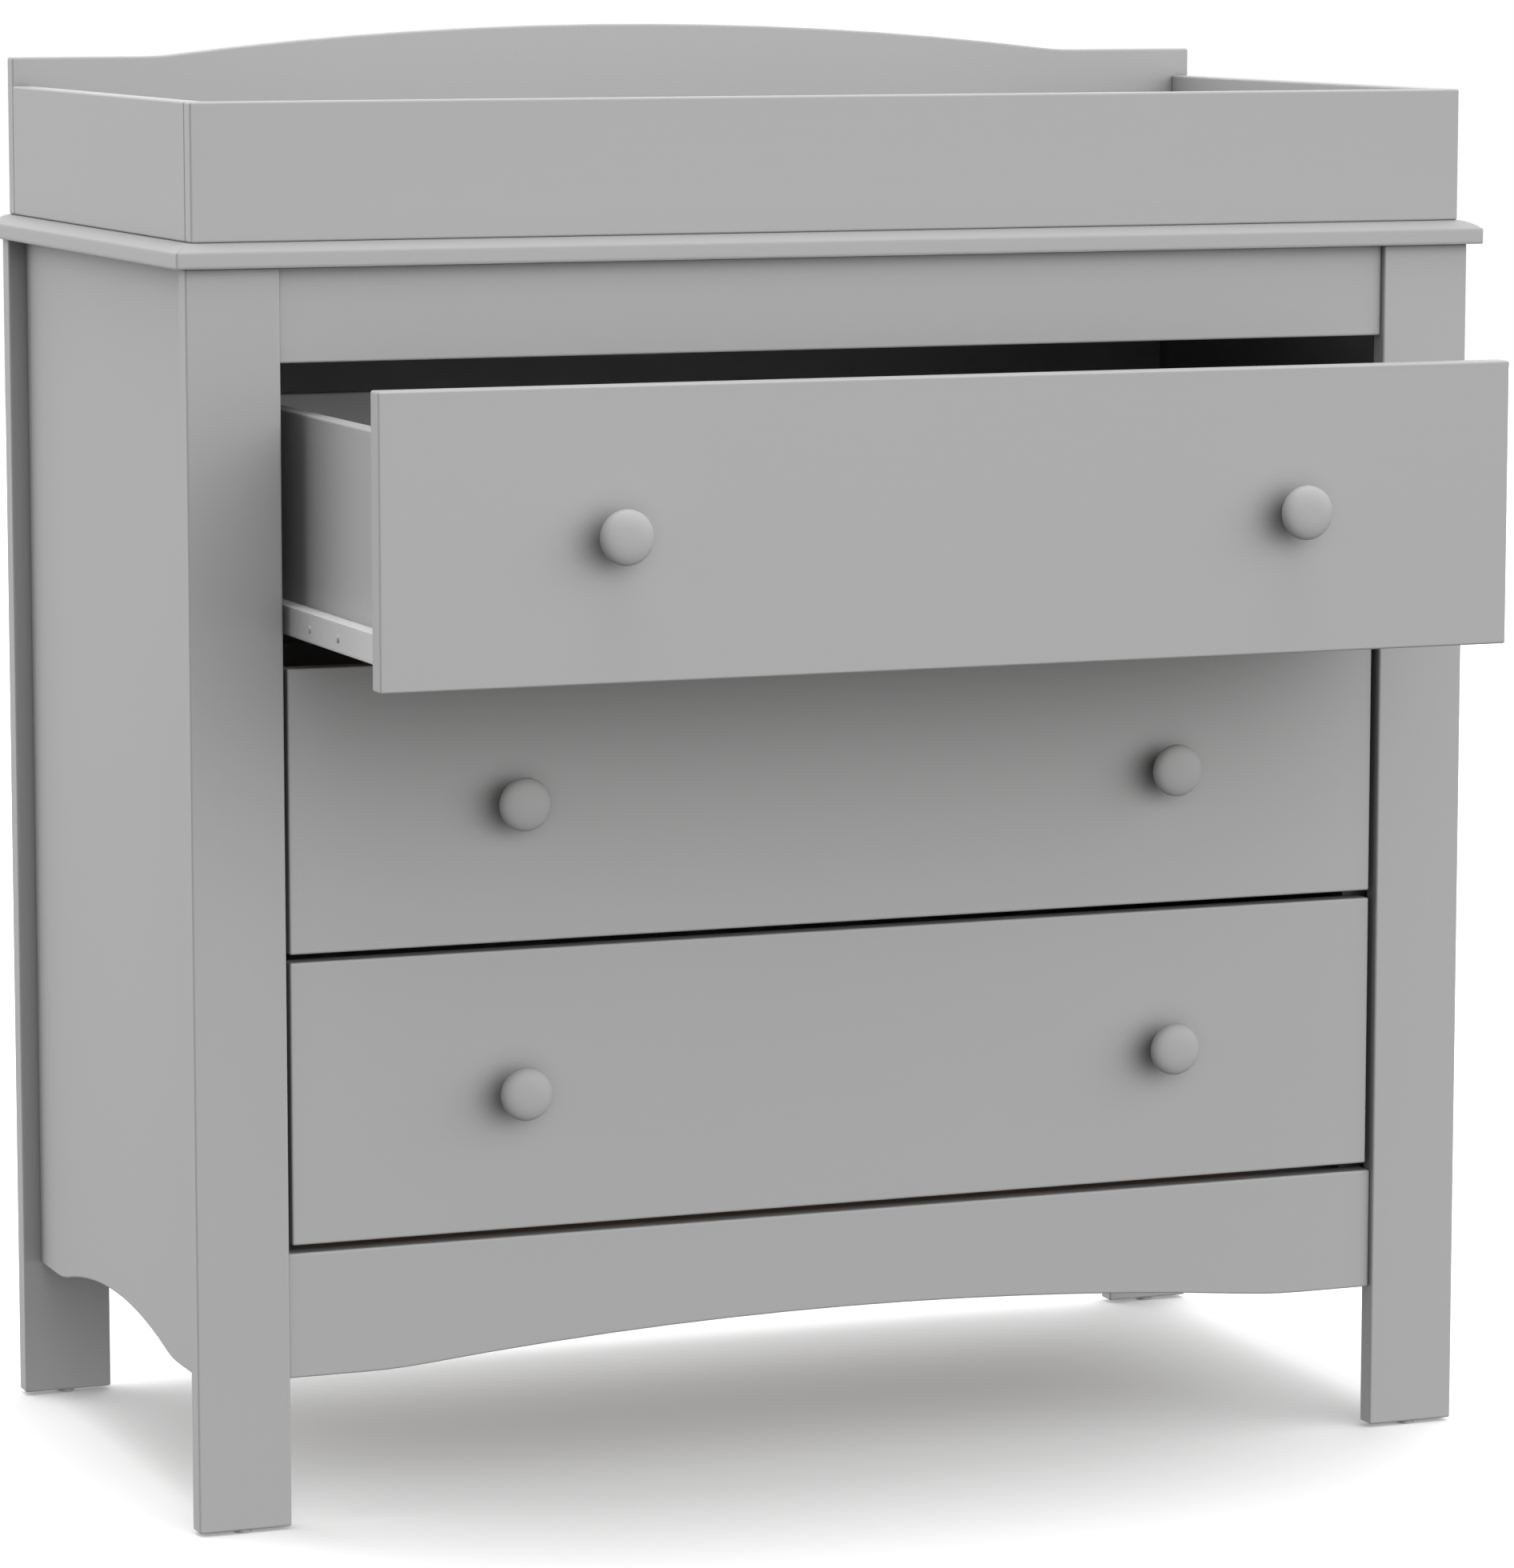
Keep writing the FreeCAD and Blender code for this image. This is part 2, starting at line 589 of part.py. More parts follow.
def bevel(label, face, depth, rim, height, side):
    """Cut a bevel with a crowned face along an upper edge of a board: the edge is at rim, in the
    plane of the face that the cut starts from, and the board lies on the given side of it."""
    level = height - s.BevelDrop
    inner = rim + s.BevelWidth * side
    clear = rim - s.BevelDrop * side
    above = height + s.BevelDrop
    outline = [(clear, level), (rim, level), (inner, height), (inner, above), (clear, above)]
    cut(label, face, depth,
        lambda sketch, local: draw_outline(sketch, outline, {1: (s.BevelCrown, side)}))


def make_top_board():
    """The top board, with a crowned bevel along its front and side edges."""
    width, depth = (half + s.TopOverhang) * 2, s.CaseDepth + s.TopOverhang
    board("top_board", (-half - s.TopOverhang, front - s.TopOverhang, s.CaseHeight),
          (width, depth, s.BoardThickness), flat=BOTTOM)
    bevel("top_board", LEFT, width, as_size(0), s.BoardThickness, 1)
    bevel("top_board", FRONT, depth, as_size(0), s.BoardThickness, 1)
    bevel("top_board", FRONT, depth, width, s.BoardThickness, -1)


make_top_board()

board("back_panel", (-panel_inner + s.BackPanelGap, rear_post_front - s.HardboardThickness,
                     s.ApronBottom + s.BackPanelGap),
      ((panel_inner - s.BackPanelGap) * 2, s.HardboardThickness,
       s.CaseHeight - s.ApronBottom - s.BackPanelGap * 2))

# Cam joints: rails to posts, side panels to posts, top board to side panels
rail_mid = rail_bottom + s.RailHeight / 2
apron_mid = s.ApronTop - s.RailHeight / 2
rail_joints = [("front_top_rail", rail_mid, BACK, rail_front + s.BoardThickness, "front"),
               ("front_apron", apron_mid, BACK, rail_front + s.BoardThickness, "front"),
               ("rear_top_rail", rail_mid, FRONT, rear_post_front, "rear"),
               ("rear_bottom_rail", apron_mid, FRONT, rear_post_front, "rear")]
cam_inset = post_inner - s.CamSetback
case_joints = []
for rail, height, face, face_y, row in rail_joints:
    case_joints.append(cam_joint(rail, face, row + "_left_post", RIGHT,
                               (-cam_inset, face_y, height), -X))
    # The right-hand post is the left-hand one mirrored, so only the rail is drilled here.
    axis_y = face_y - s.CamAxis * (1 if face == BACK else -1)
    drill(rail, face, [(cam_inset, height)], s.CamDiameter, s.CamDepth)
    drill(rail, RIGHT, [(axis_y, height)], s.BoltHeadRadius * 2, s.CamSetback)

panel_heights = (s.ApronTop + s.RailHeight, rail_bottom - s.RailHeight)
for height in panel_heights:
    for post, post_face, y, toward in (
            ("front_left_post", BACK, post_back + s.CamSetback, -Y),
            ("rear_left_post", FRONT, rear_post_front - s.CamSetback, Y)):
        case_joints.append(cam_joint("left_side_panel", RIGHT, post, post_face,
                                   (-panel_inner, y, height), toward))

stretcher_mid = stretcher_front + s.StretcherDepth / 2
stretcher_bottom = stretcher_top - s.BoardThickness
case_joints.append(cam_joint("front_stretcher", BOTTOM, "left_side_panel", RIGHT,
                             (-panel_inner + s.CamSetback, stretcher_mid, stretcher_bottom), -X))
drill("front_stretcher", BOTTOM, [(panel_inner - s.CamSetback, stretcher_mid)],
      s.CamDiameter, s.CamDepth)
drill("front_stretcher", RIGHT, [(stretcher_mid, stretcher_bottom + s.CamAxis)],
      s.BoltHeadRadius * 2, s.CamSetback)

top_joint_inset = 2 * s.RailHeight
for y in (post_back + top_joint_inset, rear_post_front - top_joint_inset):
    case_joints.append(cam_joint("left_side_panel", RIGHT, "top_board", BOTTOM,
                               (-panel_inner, y, s.CaseHeight - s.CamSetback), Z))
    drill("top_board", BOTTOM, [(panel_inner + s.CamAxis, y)], s.BoltRadius * 2, s.BoltThread)

# Back panel screws, into the rear posts and rails
panel_front = rear_post_front - s.HardboardThickness
post_mid = half - s.PostWidth / 2 - s.SidePanelSetback
post_spots = [(-post_mid, height) for height in
              (apron_mid, panel_heights[0] + s.RailHeight * 4, rail_mid)]
drill("rear_left_post", FRONT, post_spots, s.ScrewRadius * 2, s.PanelScrewLength)
all_spots = post_spots + [(-x, z) for x, z in post_spots]
for rail, height in (("rear_top_rail", rail_mid), ("rear_bottom_rail", apron_mid)):
    rail_spots = [(x, height) for x in (-post_inner / 2, as_size(0), post_inner / 2)]
    drill(rail, FRONT, rail_spots, s.ScrewRadius * 2, s.PanelScrewLength)
    all_spots += rail_spots
drill("back_panel", FRONT, all_spots, s.ScrewRadius * 2, s.HardboardThickness * 2)
group("back_panel_screws", [link(panel_screw, (x, panel_front, z), -Y) for x, z in all_spots])

# Foot glides
glide_spots = [(x, y + s.BoardThickness / 2)
               for x in (-half + s.PostWidth / 2, half - s.PostWidth / 2)
               for y in (front, rear_post_front)]
group("foot_glides", [link(glide, (x, y, 0)) for x, y in glide_spots])

# ---------------------------------------------------------------------------------------------
# Changing tray
# ---------------------------------------------------------------------------------------------

tray_half = half - s.TraySideSetback
tray_front = front + s.TrayFrontSetback
tray_floor = s.CaseHeight + s.BoardThickness
tray_side_start = tray_front + s.TrayThickness
tray_side_end = rear - s.TrayThickness

board("tray_front_panel", (-tray_half, tray_front, tray_floor),
      (tray_half * 2, s.TrayThickness, s.TrayHeight), radius=s.EdgeEase)
board("tray_left_panel", (-tray_half, tray_side_start, tray_floor),
      (s.TrayThickness, tray_side_end - tray_side_start, s.TrayHeight), flat=LEFT,
      radius=s.EdgeEase)
points, arcs = arched_edge(s.TrayArchHalf, s.TrayArchRise, s.TrayArchSweep, tray_half,
                           s.TrayShoulder)
board("tray_back_panel", (-tray_half, tray_side_end, tray_floor),
      (tray_half * 2, s.TrayThickness, s.TrayShoulder),
      [(0, 0)] + [(0, s.TrayShoulder)] + points + [(tray_half * 2, s.TrayShoulder),
                                                   (tray_half * 2, 0)],
      {index + 2: arc for index, arc in enumerate(arcs)}, radius=s.EdgeEase)

tray_mid = tray_floor + s.TrayHeight / 2
tray_axis = tray_half - s.TrayThickness + s.SmallCamAxis
for panel, panel_face, y, toward in (
        ("tray_front_panel", BACK, tray_side_start + s.CamSetback, -Y),
        ("tray_back_panel", FRONT, tray_side_end - s.CamSetback, Y)):
    case_joints.append(cam_joint("tray_left_panel", RIGHT, panel, panel_face,
                               (-tray_half + s.TrayThickness, y, tray_mid), toward, small=True))
    drill(panel, panel_face, [(tray_axis, tray_mid)], s.BoltRadius * 2, s.BoltThread)

for label, part in (("cam_locks", 0), ("cam_bolts", 1)):
    left_parts = group("left_" + label, [joint[part] for joint in case_joints], keep=False)
    group(label, [left_parts, mirror("right_" + label, left_parts, keep=False)])

# Fixing plates that tie the tray to the case at the rear
plate_bottom = s.CaseHeight - s.PlateDrop
plate_top = plate_bottom + s.PlateHeight
plate_holes = [plate_bottom + s.PlateHoleInset,
               plate_bottom + s.PlateHoleInset + s.PlateHolePitch,
               plate_top - s.PlateHoleInset - s.PlateHolePitch, plate_top - s.PlateHoleInset]
plate_low, plate_high = plate_holes[:2], plate_holes[2:]
board("left_fixing_plate",
      (-s.PlateOffset - s.PlateWidth / 2, rear, plate_bottom),
      (s.PlateWidth, s.PlateThickness, s.PlateHeight), keep=False)
drill("left_fixing_plate", BACK, [(-s.PlateOffset, z) for z in plate_holes],
      s.ScrewRadius * 2, s.PlateThickness * 2)
plate_sides = (-s.PlateOffset, s.PlateOffset)
drill("rear_top_rail", BACK, [(x, z) for x in plate_sides for z in plate_low],
      s.ScrewRadius * 2, s.ShortScrewLength)
drill("tray_back_panel", BACK, [(x, z) for x in plate_sides for z in plate_high],
      s.ScrewRadius * 2, s.ShortScrewLength)
left_plate = boards["left_fixing_plate"][0]
group("tray_fixing_plates", [left_plate, mirror("right_fixing_plate", left_plate, keep=False)])
rear_screws = [link(short_screw, (x, rear + s.PlateThickness, z), Y)
               for x in plate_sides for z in plate_holes]

# Wall bracket for the tip restraint, on the rear top rail
board("wall_bracket", (-s.BracketWidth / 2, rear, rail_mid - s.BracketHeight / 2),
      (s.BracketWidth, s.BracketThickness, s.BracketHeight))
bracket_spots = [(-s.BracketHolePitch / 2, rail_mid), (s.BracketHolePitch / 2, rail_mid)]
drill("wall_bracket", BACK, bracket_spots, s.ScrewRadius * 2, s.BracketThickness * 2)
cut("wall_bracket", BACK, s.BracketThickness * 2, lambda sketch, local: draw_circles(
    sketch, [local((as_size(0), rail_mid))], s.AnchorHoleRadius * 2))
drill("rear_top_rail", BACK, bracket_spots, s.ScrewRadius * 2, s.ShortScrewLength)
drill("rear_top_rail", BACK, [(as_size(0), rail_mid)], s.AnchorRecessRadius * 2,
      s.AnchorRecessDepth)
rear_screws += [link(short_screw, (x, rear + s.BracketThickness, z), Y)
                for x, z in bracket_spots]
group("rear_fixing_screws", rear_screws)

# ---------------------------------------------------------------------------------------------
# Drawers, their slides and rollers
# ---------------------------------------------------------------------------------------------

front_half = post_inner - s.DrawerSideGap
front_height = (rail_bottom - s.ApronTop - s.DrawerGap * 4) / 3
drawer_inner = s.DrawerHalf - s.DrawerPanelThickness
cleat_face = s.DrawerHalf + s.SideClearance
case_web_face = cleat_face - s.Gauge


def make_drawer(name, level, pull):
    """One drawer, its front's bottom edge at the given level, pulled out by pull."""
    face = rail_front - pull
    box_front = face + s.BoardThickness
    box_rear = box_front + s.DrawerLength
    side_bottom = level + s.DrawerPanelLift
    side_mid = side_bottom + s.DrawerPanelHeight / 2
    groove_bottom = side_bottom + s.GrooveLift
    groove_top = groove_bottom + s.GrooveWidth
    labels = {piece: "%s_drawer_%s" % (name, piece)
              for piece in ("front", "left_side", "right_side", "back", "bottom", "knobs",
                            "knob_screws", "runners", "fasteners")}

    board(labels["front"], (-front_half, face, level),
          (front_half * 2, s.BoardThickness, front_height), radius=s.EdgeEase)
    board(labels["left_side"], (-s.DrawerHalf, box_front, side_bottom),
          (s.DrawerPanelThickness, s.DrawerLength, s.DrawerPanelHeight), flat=LEFT,
          radius=s.EdgeEase)
    board(labels["back"], (-drawer_inner, box_rear - s.DrawerPanelThickness, side_bottom),
          (drawer_inner * 2, s.DrawerPanelThickness, s.DrawerPanelHeight), radius=s.EdgeEase)

    # The bottom panel stands in a groove in all four walls.
    tongue = s.GrooveDepth - s.PanelPlay
    back_front = box_rear - s.DrawerPanelThickness
    bottom_corner = (-drawer_inner - tongue, box_front - tongue,
                     groove_bottom + (s.GrooveWidth - s.HardboardThickness) / 2)
    board(labels["bottom"], bottom_corner,
          ((drawer_inner + tongue) * 2, back_front - box_front + tongue * 2,
           s.HardboardThickness), flat=BOTTOM)
    groove(labels["front"], BACK, (-drawer_inner - s.GrooveDepth, groove_bottom),
           (drawer_inner + s.GrooveDepth, groove_top), s.GrooveDepth)
    groove(labels["left_side"], RIGHT, (box_front - s.GrooveDepth, groove_bottom),
           (box_rear - s.DrawerPanelThickness + s.GrooveDepth, groove_top), s.GrooveDepth)
    groove(labels["back"], FRONT, (-drawer_inner - s.GrooveDepth, groove_bottom),
           (drawer_inner + s.GrooveDepth, groove_top), s.GrooveDepth)

    # Front joints with cams, rear joints with screws
    corner_cam, corner_bolt = cam_joint(
        labels["left_side"], RIGHT, labels["front"], BACK,
        (-drawer_inner, box_front + s.CamSetback, side_mid), -Y, small=True)
    drill(labels["front"], BACK, [(drawer_inner + s.SmallCamAxis, side_mid)],
          s.BoltRadius * 2, s.BoltThread)
    rear_spots = [(box_rear - s.DrawerPanelThickness / 2, side_mid + shift)
                  for shift in (-s.DrawerPanelHeight / 4, s.DrawerPanelHeight / 4)]
    drill(labels["left_side"], LEFT, rear_spots, s.ScrewRadius * 2,
          s.DrawerPanelThickness * 2)
    for end in (LEFT, RIGHT):
        drill(labels["back"], end, rear_spots, s.ScrewRadius * 2,
              s.CornerScrewLength - s.DrawerPanelThickness)
    screws = [link(corner_screw, (-s.DrawerHalf, y, z), -X) for y, z in rear_spots]
    left = group(labels["fasteners"] + "_left", [corner_cam, corner_bolt] + screws, keep=False)
    group(labels["fasteners"], [left, mirror(labels["fasteners"] + "_right", left, keep=False)])

    # Knobs and their screws
    knob_height = level + front_height / 2
    knob_spots = [(-s.KnobOffset, knob_height), (s.KnobOffset, knob_height)]
    drill(labels["front"], FRONT, knob_spots, s.ScrewRadius * 2, s.BoardThickness * 2)
    group(labels["knobs"], [link(knob, (x, face, z), -Y) for x, z in knob_spots])
    group(labels["knob_screws"], [link(knob_screw, (x, box_front, z), Y)
                                  for x, z in knob_spots])

    # Left drawer runner: a folded rail beside the drawer side, with a leg against the side, and
    # at its rear end a tab below the leg that carries the drawer roller's pin
    rail_under = side_bottom - s.RunnerDrop
    body = new_body(name + "_drawer_runner",
                    (-s.DrawerHalf - s.RunnerReach, box_front, rail_under))
    reach, top = s.RunnerReach, s.RunnerHeight
    leg, seam = reach - s.Gauge, reach - s.RunnerSeam
    sketch = new_sketch(body, "XZ")
    draw_outline(sketch, [
        (0, 0), (seam, 0), (seam, s.Gauge), (s.Gauge, s.Gauge), (s.Gauge, top - s.Gauge),
        (leg, top - s.Gauge), (leg, s.RunnerSeam), (reach, s.RunnerSeam), (reach, top), (0, top)])
    pad(body, sketch, s.DrawerLength, flip=True)
    tab_bottom = -s.ChannelGap - s.Gauge - s.RunningGap - s.RollerRadius - s.RunnerTabEdge
    sketch = new_sketch(body, "YZ", leg)
    draw_rectangle(sketch, (s.DrawerLength - s.RunnerTab, tab_bottom),
                   (s.DrawerLength, top - s.Gauge))
    pad(body, sketch, s.Gauge)

    # The case roller carries the rail; the drawer roller rides in the case runner under it.
    channel_top = rail_under - s.ChannelGap
    roller_x = s.DrawerHalf + s.Gauge + s.RollerStandoff
    drawer_axle = (box_rear - s.RollerSetback,
                   channel_top - s.Gauge - s.RunningGap - s.RollerRadius)
    case_axle = (front + s.ChannelStart + s.RollerSetback,
                 rail_under - s.RunningGap - s.RollerRadius)
    pin = make_pin(name + "_drawer_pin", (-roller_x - s.RollerWidth, *drawer_axle),
                   s.RollerWidth + s.RollerStandoff)
    left = group(name + "_left_drawer_runner", [body, pin], keep=False)
    group(labels["runners"], [left, mirror(name + "_right_drawer_runner", left, keep=False)])
    for label, axle in (("%s_drawer_rollers" % name, drawer_axle),
                        ("%s_case_rollers" % name, case_axle)):
        group(label, [link(roller, (-roller_x, *axle), -X), link(roller, (roller_x, *axle), X)])

    mirror(labels["right_side"], boards[labels["left_side"]][0])
    return make_case_runner(name, channel_top, roller_x, case_axle)


def make_pin(label, place, length):
    """A roller pin along +X from place."""
    pin = doc.addObject("Part::Cylinder", label)
    pin.Placement = Placement(Vector(0, 0, 0), Rotation(Z, X))
    bind(pin, "Radius", s.PinRadius)
    bind(pin, "Height", length)
    bind_place(pin, place)
    return pin


def make_case_runner(name, channel_top, roller_x, case_axle):
    """Left case runner, a channel open towards the drawer whose top flange is cut away round the
    case roller, with that roller's pin, and the wooden cleat that carries it."""
    inside = (s.RollerRadius + s.RunningGap) * 2
    height = inside + s.Gauge * 2
    bottom = channel_top - height
    body = new_body(name + "_case_runner", (-cleat_face, front + s.ChannelStart, bottom))
    sketch = new_sketch(body, "XZ")
    draw_outline(sketch, [
        (0, 0), (s.ChannelFlange, 0), (s.ChannelFlange, s.Gauge), (s.Gauge, s.Gauge),
        (s.Gauge, height), (0, height)])
    pad(body, sketch, s.DrawerLength, flip=True)
    sketch = new_sketch(body, "XZ", -s.ChannelNotch)
    draw_rectangle(sketch, (0, height - s.Gauge), (s.ChannelFlange, height))
    pad(body, sketch, s.DrawerLength - s.ChannelNotch, flip=True)
    pin = make_pin(name + "_case_pin", (-case_web_face, *case_axle), case_web_face - roller_x)
    cleat = board(name + "_cleat", (-panel_inner, front + s.ChannelStart, bottom - s.CleatLift),
                  (panel_inner - cleat_face,
                   rear_post_front - s.HardboardThickness - s.CleatEndGap
                   - front - s.ChannelStart, s.CleatHeight), flat=LEFT, keep=False)
    return [body, pin], cleat


case_runners, cleats = [], []
drawer_pitch = front_height + s.DrawerGap
for step, (name, pull) in enumerate((("lower", as_size(0)), ("middle", as_size(0)),
                                     ("upper", s.DrawerPull))):
    level = s.ApronTop + s.DrawerGap + drawer_pitch * step
    runner, cleat = make_drawer(name, level, pull)
    case_runners.extend(runner)
    cleats.append(cleat)
mirror("right_case_runners", group("left_case_runners", case_runners))
left_cleats = group("left_runner_cleats", cleats, keep=False)
group("runner_cleats", [left_cleats, mirror("right_runner_cleats", left_cleats, keep=False)])

mirror("right_side_panel", boards["left_side_panel"][0])
mirror("front_right_post", boards["front_left_post"][0])
mirror("rear_right_post", boards["rear_left_post"][0])
mirror("tray_right_panel", boards["tray_left_panel"][0])

# ---------------------------------------------------------------------------------------------
# Checks and export
# ---------------------------------------------------------------------------------------------

doc.recompute()
for thing in doc.Objects:
    if "Invalid" in thing.State or "Error" in thing.State:
        raise RuntimeError("%s failed: %s" % (thing.Label, thing.State))
    if thing.TypeId == "PartDesign::Pocket" and not (
            thing.Shape.Volume < thing.BaseFeature.Shape.Volume - 0.1):
        raise RuntimeError("%s cuts nothing" % thing.Label)

os.makedirs("parts", exist_ok=True)
total = 0
for node in nodes:
    shape = node.Shape
    if shape.isNull() or not shape.isValid() or not shape.Solids:
        raise RuntimeError("%s has no valid shape" % node.Label)
    total += len(shape.Solids)
    shape.exportStep("parts/%s.step" % node.Label)
print("%d nodes, %d solids" % (len(nodes), total))
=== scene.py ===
import json
import math

import bmesh
import bpy
from mathutils import Matrix, Vector


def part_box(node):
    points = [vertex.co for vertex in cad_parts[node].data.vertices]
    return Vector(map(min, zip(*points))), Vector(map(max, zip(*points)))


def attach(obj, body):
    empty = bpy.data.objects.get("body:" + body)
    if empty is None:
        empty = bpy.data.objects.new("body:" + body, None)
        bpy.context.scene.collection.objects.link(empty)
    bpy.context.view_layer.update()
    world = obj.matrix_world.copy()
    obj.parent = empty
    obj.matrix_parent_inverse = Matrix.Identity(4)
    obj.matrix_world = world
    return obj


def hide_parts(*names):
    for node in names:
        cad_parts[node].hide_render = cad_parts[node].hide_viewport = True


# Looks of the changing table: paint, hardware finishes, turned knobs and small fastenings round
# the CAD frame, then the studio. Metres; X right, Y from the front to the rear, Z up.

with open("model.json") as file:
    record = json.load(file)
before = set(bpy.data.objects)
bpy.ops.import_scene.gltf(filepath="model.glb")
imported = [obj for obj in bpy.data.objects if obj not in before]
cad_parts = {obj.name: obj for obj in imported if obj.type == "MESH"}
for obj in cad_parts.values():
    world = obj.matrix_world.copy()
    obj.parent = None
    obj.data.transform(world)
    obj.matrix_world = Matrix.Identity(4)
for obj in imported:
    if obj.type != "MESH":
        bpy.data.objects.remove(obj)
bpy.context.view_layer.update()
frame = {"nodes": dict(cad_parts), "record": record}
nodes = frame["nodes"]

MM = 0.001
LEVELS = ("lower", "middle", "upper")


# ---------------------------------------------------------------- materials

# Linear colours. Where there are two, the finish varies between them.
PAINT = (0.40, 0.40, 0.40)
BARE_FIBRE = ((0.17, 0.095, 0.048), (0.27, 0.165, 0.085))
COATING = ((0.50, 0.50, 0.50), (0.54, 0.54, 0.54))
# Painted highlight: the colour of the coated rails' upward faces, as if lit from above.
PAINTED_TOP_HIGHLIGHT = (0.85, 0.85, 0.85)
PASSIVATION = ((0.62, 0.62, 0.60), (0.56, 0.58, 0.62))
NATURAL_NYLON = ((0.74, 0.74, 0.70), (0.80, 0.80, 0.77))
GREY_PLASTIC = ((0.32, 0.32, 0.32), (0.36, 0.36, 0.36))

PAINT_ROUGHNESS = (0.52, 0.60)
# Painted shade: how far from other surfaces the paint darkens, and its colour there as a share of the
# paint's.
PAINTED_SHADE_REACH = 22 * MM
PAINTED_SHADE_FACTOR = 0.5
PAINTED_EDGE_RADIUS = 3 * MM
COATED_EDGE_RADIUS = 2.5 * MM


class Graph:
    """A node tree, with short helpers for its nodes and links."""

    def __init__(self, owner):
        owner.use_nodes = True
        self.owner = owner
        self.tree = owner.node_tree
        self.tree.nodes.clear()

    def add(self, kind, **settings):
        node = self.tree.nodes.new(kind)
        for key, value in settings.items():
            setattr(node, key, value)
        return node

    def link(self, source, target):
        self.tree.links.new(source, target)

    def put(self, value, socket):
        """Sets a socket to a number or colour, or links an output to it."""
        if isinstance(value, bpy.types.NodeSocket):
            self.link(value, socket)
        else:
            socket.default_value = value

    def math(self, operation, first, second=0.0):
        node = self.add("ShaderNodeMath", operation=operation)
        self.put(first, node.inputs[0])
        self.put(second, node.inputs[1])
        return node.outputs[0]


class Finish(Graph):
    """A material: a Principled shader fed from patterns in the object's own coordinates."""

    def __init__(self, name):
        super().__init__(bpy.data.materials.new(name))
        self.shader = self.add("ShaderNodeBsdfPrincipled")
        output = self.add("ShaderNodeOutputMaterial")
        self.link(self.shader.outputs["BSDF"], output.inputs["Surface"])
        self.place = self.add("ShaderNodeTexCoord").outputs["Object"]

    def scaled(self, scale):
        """The object's coordinates times a number or a triple."""
        node = self.add("ShaderNodeMapping")
        self.link(self.place, node.inputs["Vector"])
        node.inputs["Scale"].default_value = scale if isinstance(scale, tuple) else (scale,) * 3
        return node.outputs[0]

    def noise(self, scale, detail=2.0, roughness=0.5, distortion=0.0):
        node = self.add("ShaderNodeTexNoise")
        self.link(self.scaled(scale), node.inputs["Vector"])
        node.inputs["Scale"].default_value = 1.0
        node.inputs["Detail"].default_value = detail
        node.inputs["Roughness"].default_value = roughness
        node.inputs["Distortion"].default_value = distortion
        return node.outputs["Fac"]

    def span(self, value, low, high, to_low=0.0, to_high=1.0):
        """The value, with low to high carried over to to_low to to_high and held at both ends."""
        node = self.add("ShaderNodeMapRange")
        self.put(value, node.inputs["Value"])
        for key, number in (("From Min", low), ("From Max", high), ("To Min", to_low), ("To Max", to_high)):
            node.inputs[key].default_value = number
        return node.outputs["Result"]

    def mix(self, share, first, second):
        """The first colour at share 0 and the second at share 1."""
        node = self.add("ShaderNodeMix", data_type="RGBA")
        self.put(share, node.inputs["Factor"])
        for value, key in ((first, "A"), (second, "B")):
            socket = next(s for s in node.inputs if s.name == key and s.type == "RGBA")
            self.put((*value, 1.0) if isinstance(value, tuple) else value, socket)
        return next(s for s in node.outputs if s.type == "RGBA")

    def facing(self):
        """The parts X, Y and Z of the surface's normal."""
        node = self.add("ShaderNodeSeparateXYZ")
        self.link(self.add("ShaderNodeNewGeometry").outputs["Normal"], node.inputs[0])
        return node.outputs

    def soft_edges(self, radius):
        """A normal that rounds the mesh's sharp edges."""
        node = self.add("ShaderNodeBevel", samples=4)
        node.inputs["Radius"].default_value = radius
        return node.outputs["Normal"]

    def openness(self, distance):
        """1 on open faces, falling to 0 deep in corners and gaps."""
        node = self.add("ShaderNodeAmbientOcclusion", samples=4)
        node.inputs["Distance"].default_value = distance
        return node.outputs["AO"]

    def bump(self, height, distance, before=None):
        node = self.add("ShaderNodeBump")
        node.inputs["Distance"].default_value = distance
        self.link(height, node.inputs["Height"])
        if before is not None:
            self.link(before, node.inputs["Normal"])
        return node.outputs["Normal"]

    def finish(self, colour, roughness, normal, metallic=0.0, specular=0.5):
        self.put(colour, self.shader.inputs["Base Color"])
        self.put(roughness, self.shader.inputs["Roughness"])
        self.put(normal, self.shader.inputs["Normal"])
        self.shader.inputs["Metallic"].default_value = metallic
        self.shader.inputs["Specular IOR Level"].default_value = specular
        return self.owner


def shade(colour, factor):
    return tuple(min(1.0, c * factor) for c in colour)


def painted_wood(name, along, edge=None):
    """Satin paint sprayed on sanded board, with painted shade in its corners and gaps. along is the axis
    of the wood's grain, and edge the radius that the paint gives to a board's sharp edges."""
    g = Finish(name)
    grain = [210.0, 210.0, 210.0]
    grain["xyz".index(along)] = 5.0
    cloud = g.noise(2.6, detail=3.0)
    fleck = g.noise(95.0)
    fibre = g.noise(tuple(grain), detail=4.0, roughness=0.6, distortion=0.3)
    peel = g.noise(620.0, detail=1.0)
    body = g.mix(g.span(cloud, 0.32, 0.68), shade(PAINT, 0.985), shade(PAINT, 1.012))
    body = g.mix(g.span(fleck, 0.35, 0.75, 0.0, 0.35), body, shade(PAINT, 0.985))
    body = g.mix(g.span(fibre, 0.55, 0.75, 0.0, 0.30), body, shade(PAINT, 0.975))
    # Painted shade: the paint darkens towards half its colour in corners, gaps and under overhangs, where
    # shade falls.
    body = g.mix(g.span(g.openness(PAINTED_SHADE_REACH), 0.1, 0.85), shade(PAINT, PAINTED_SHADE_FACTOR), body)
    gloss = g.span(g.math("ADD", cloud, g.math("MULTIPLY", peel, 0.35)), 0.4, 0.95, *PAINT_ROUGHNESS)
    soft = g.soft_edges(edge) if edge else None
    return g.finish(body, gloss, g.bump(peel, 0.03 * MM, g.bump(fibre, 0.04 * MM, soft)))


